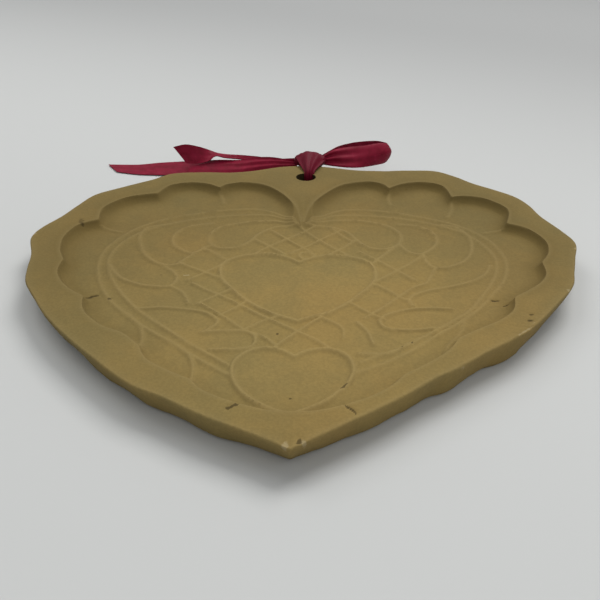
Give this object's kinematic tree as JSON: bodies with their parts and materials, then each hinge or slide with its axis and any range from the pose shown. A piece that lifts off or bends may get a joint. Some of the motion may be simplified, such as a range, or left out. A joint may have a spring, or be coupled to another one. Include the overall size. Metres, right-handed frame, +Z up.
{
  "type": "clay press mould",
  "caption": "Heart-shaped unglazed fired-clay press mould with a scalloped recess, raised-line hearts, lattice and leaves, and a satin hanging ribbon.",
  "frame": {"origin": "on the underside, below the middle of the heart", "axes": "+X to the right across the lobes, +Y from the heart's tip to the hanging tab, +Z up out of the carved face"},
  "size_m": [0.152, 0.1596, 0.0124],
  "materials": {
    "fired_clay": "unglazed, matte, faintly mottled",
    "satin_ribbon": "woven satin with a soft sheen"
  },
  "bodies": {
    "root": {"mold_body": "fired_clay", "ribbon_ring": "satin_ribbon", "ribbon_knot": "satin_ribbon", "ribbon_loop": "satin_ribbon", "ribbon_short_tail": "satin_ribbon", "ribbon_long_tail": "satin_ribbon"}
  },
  "joints": []
}
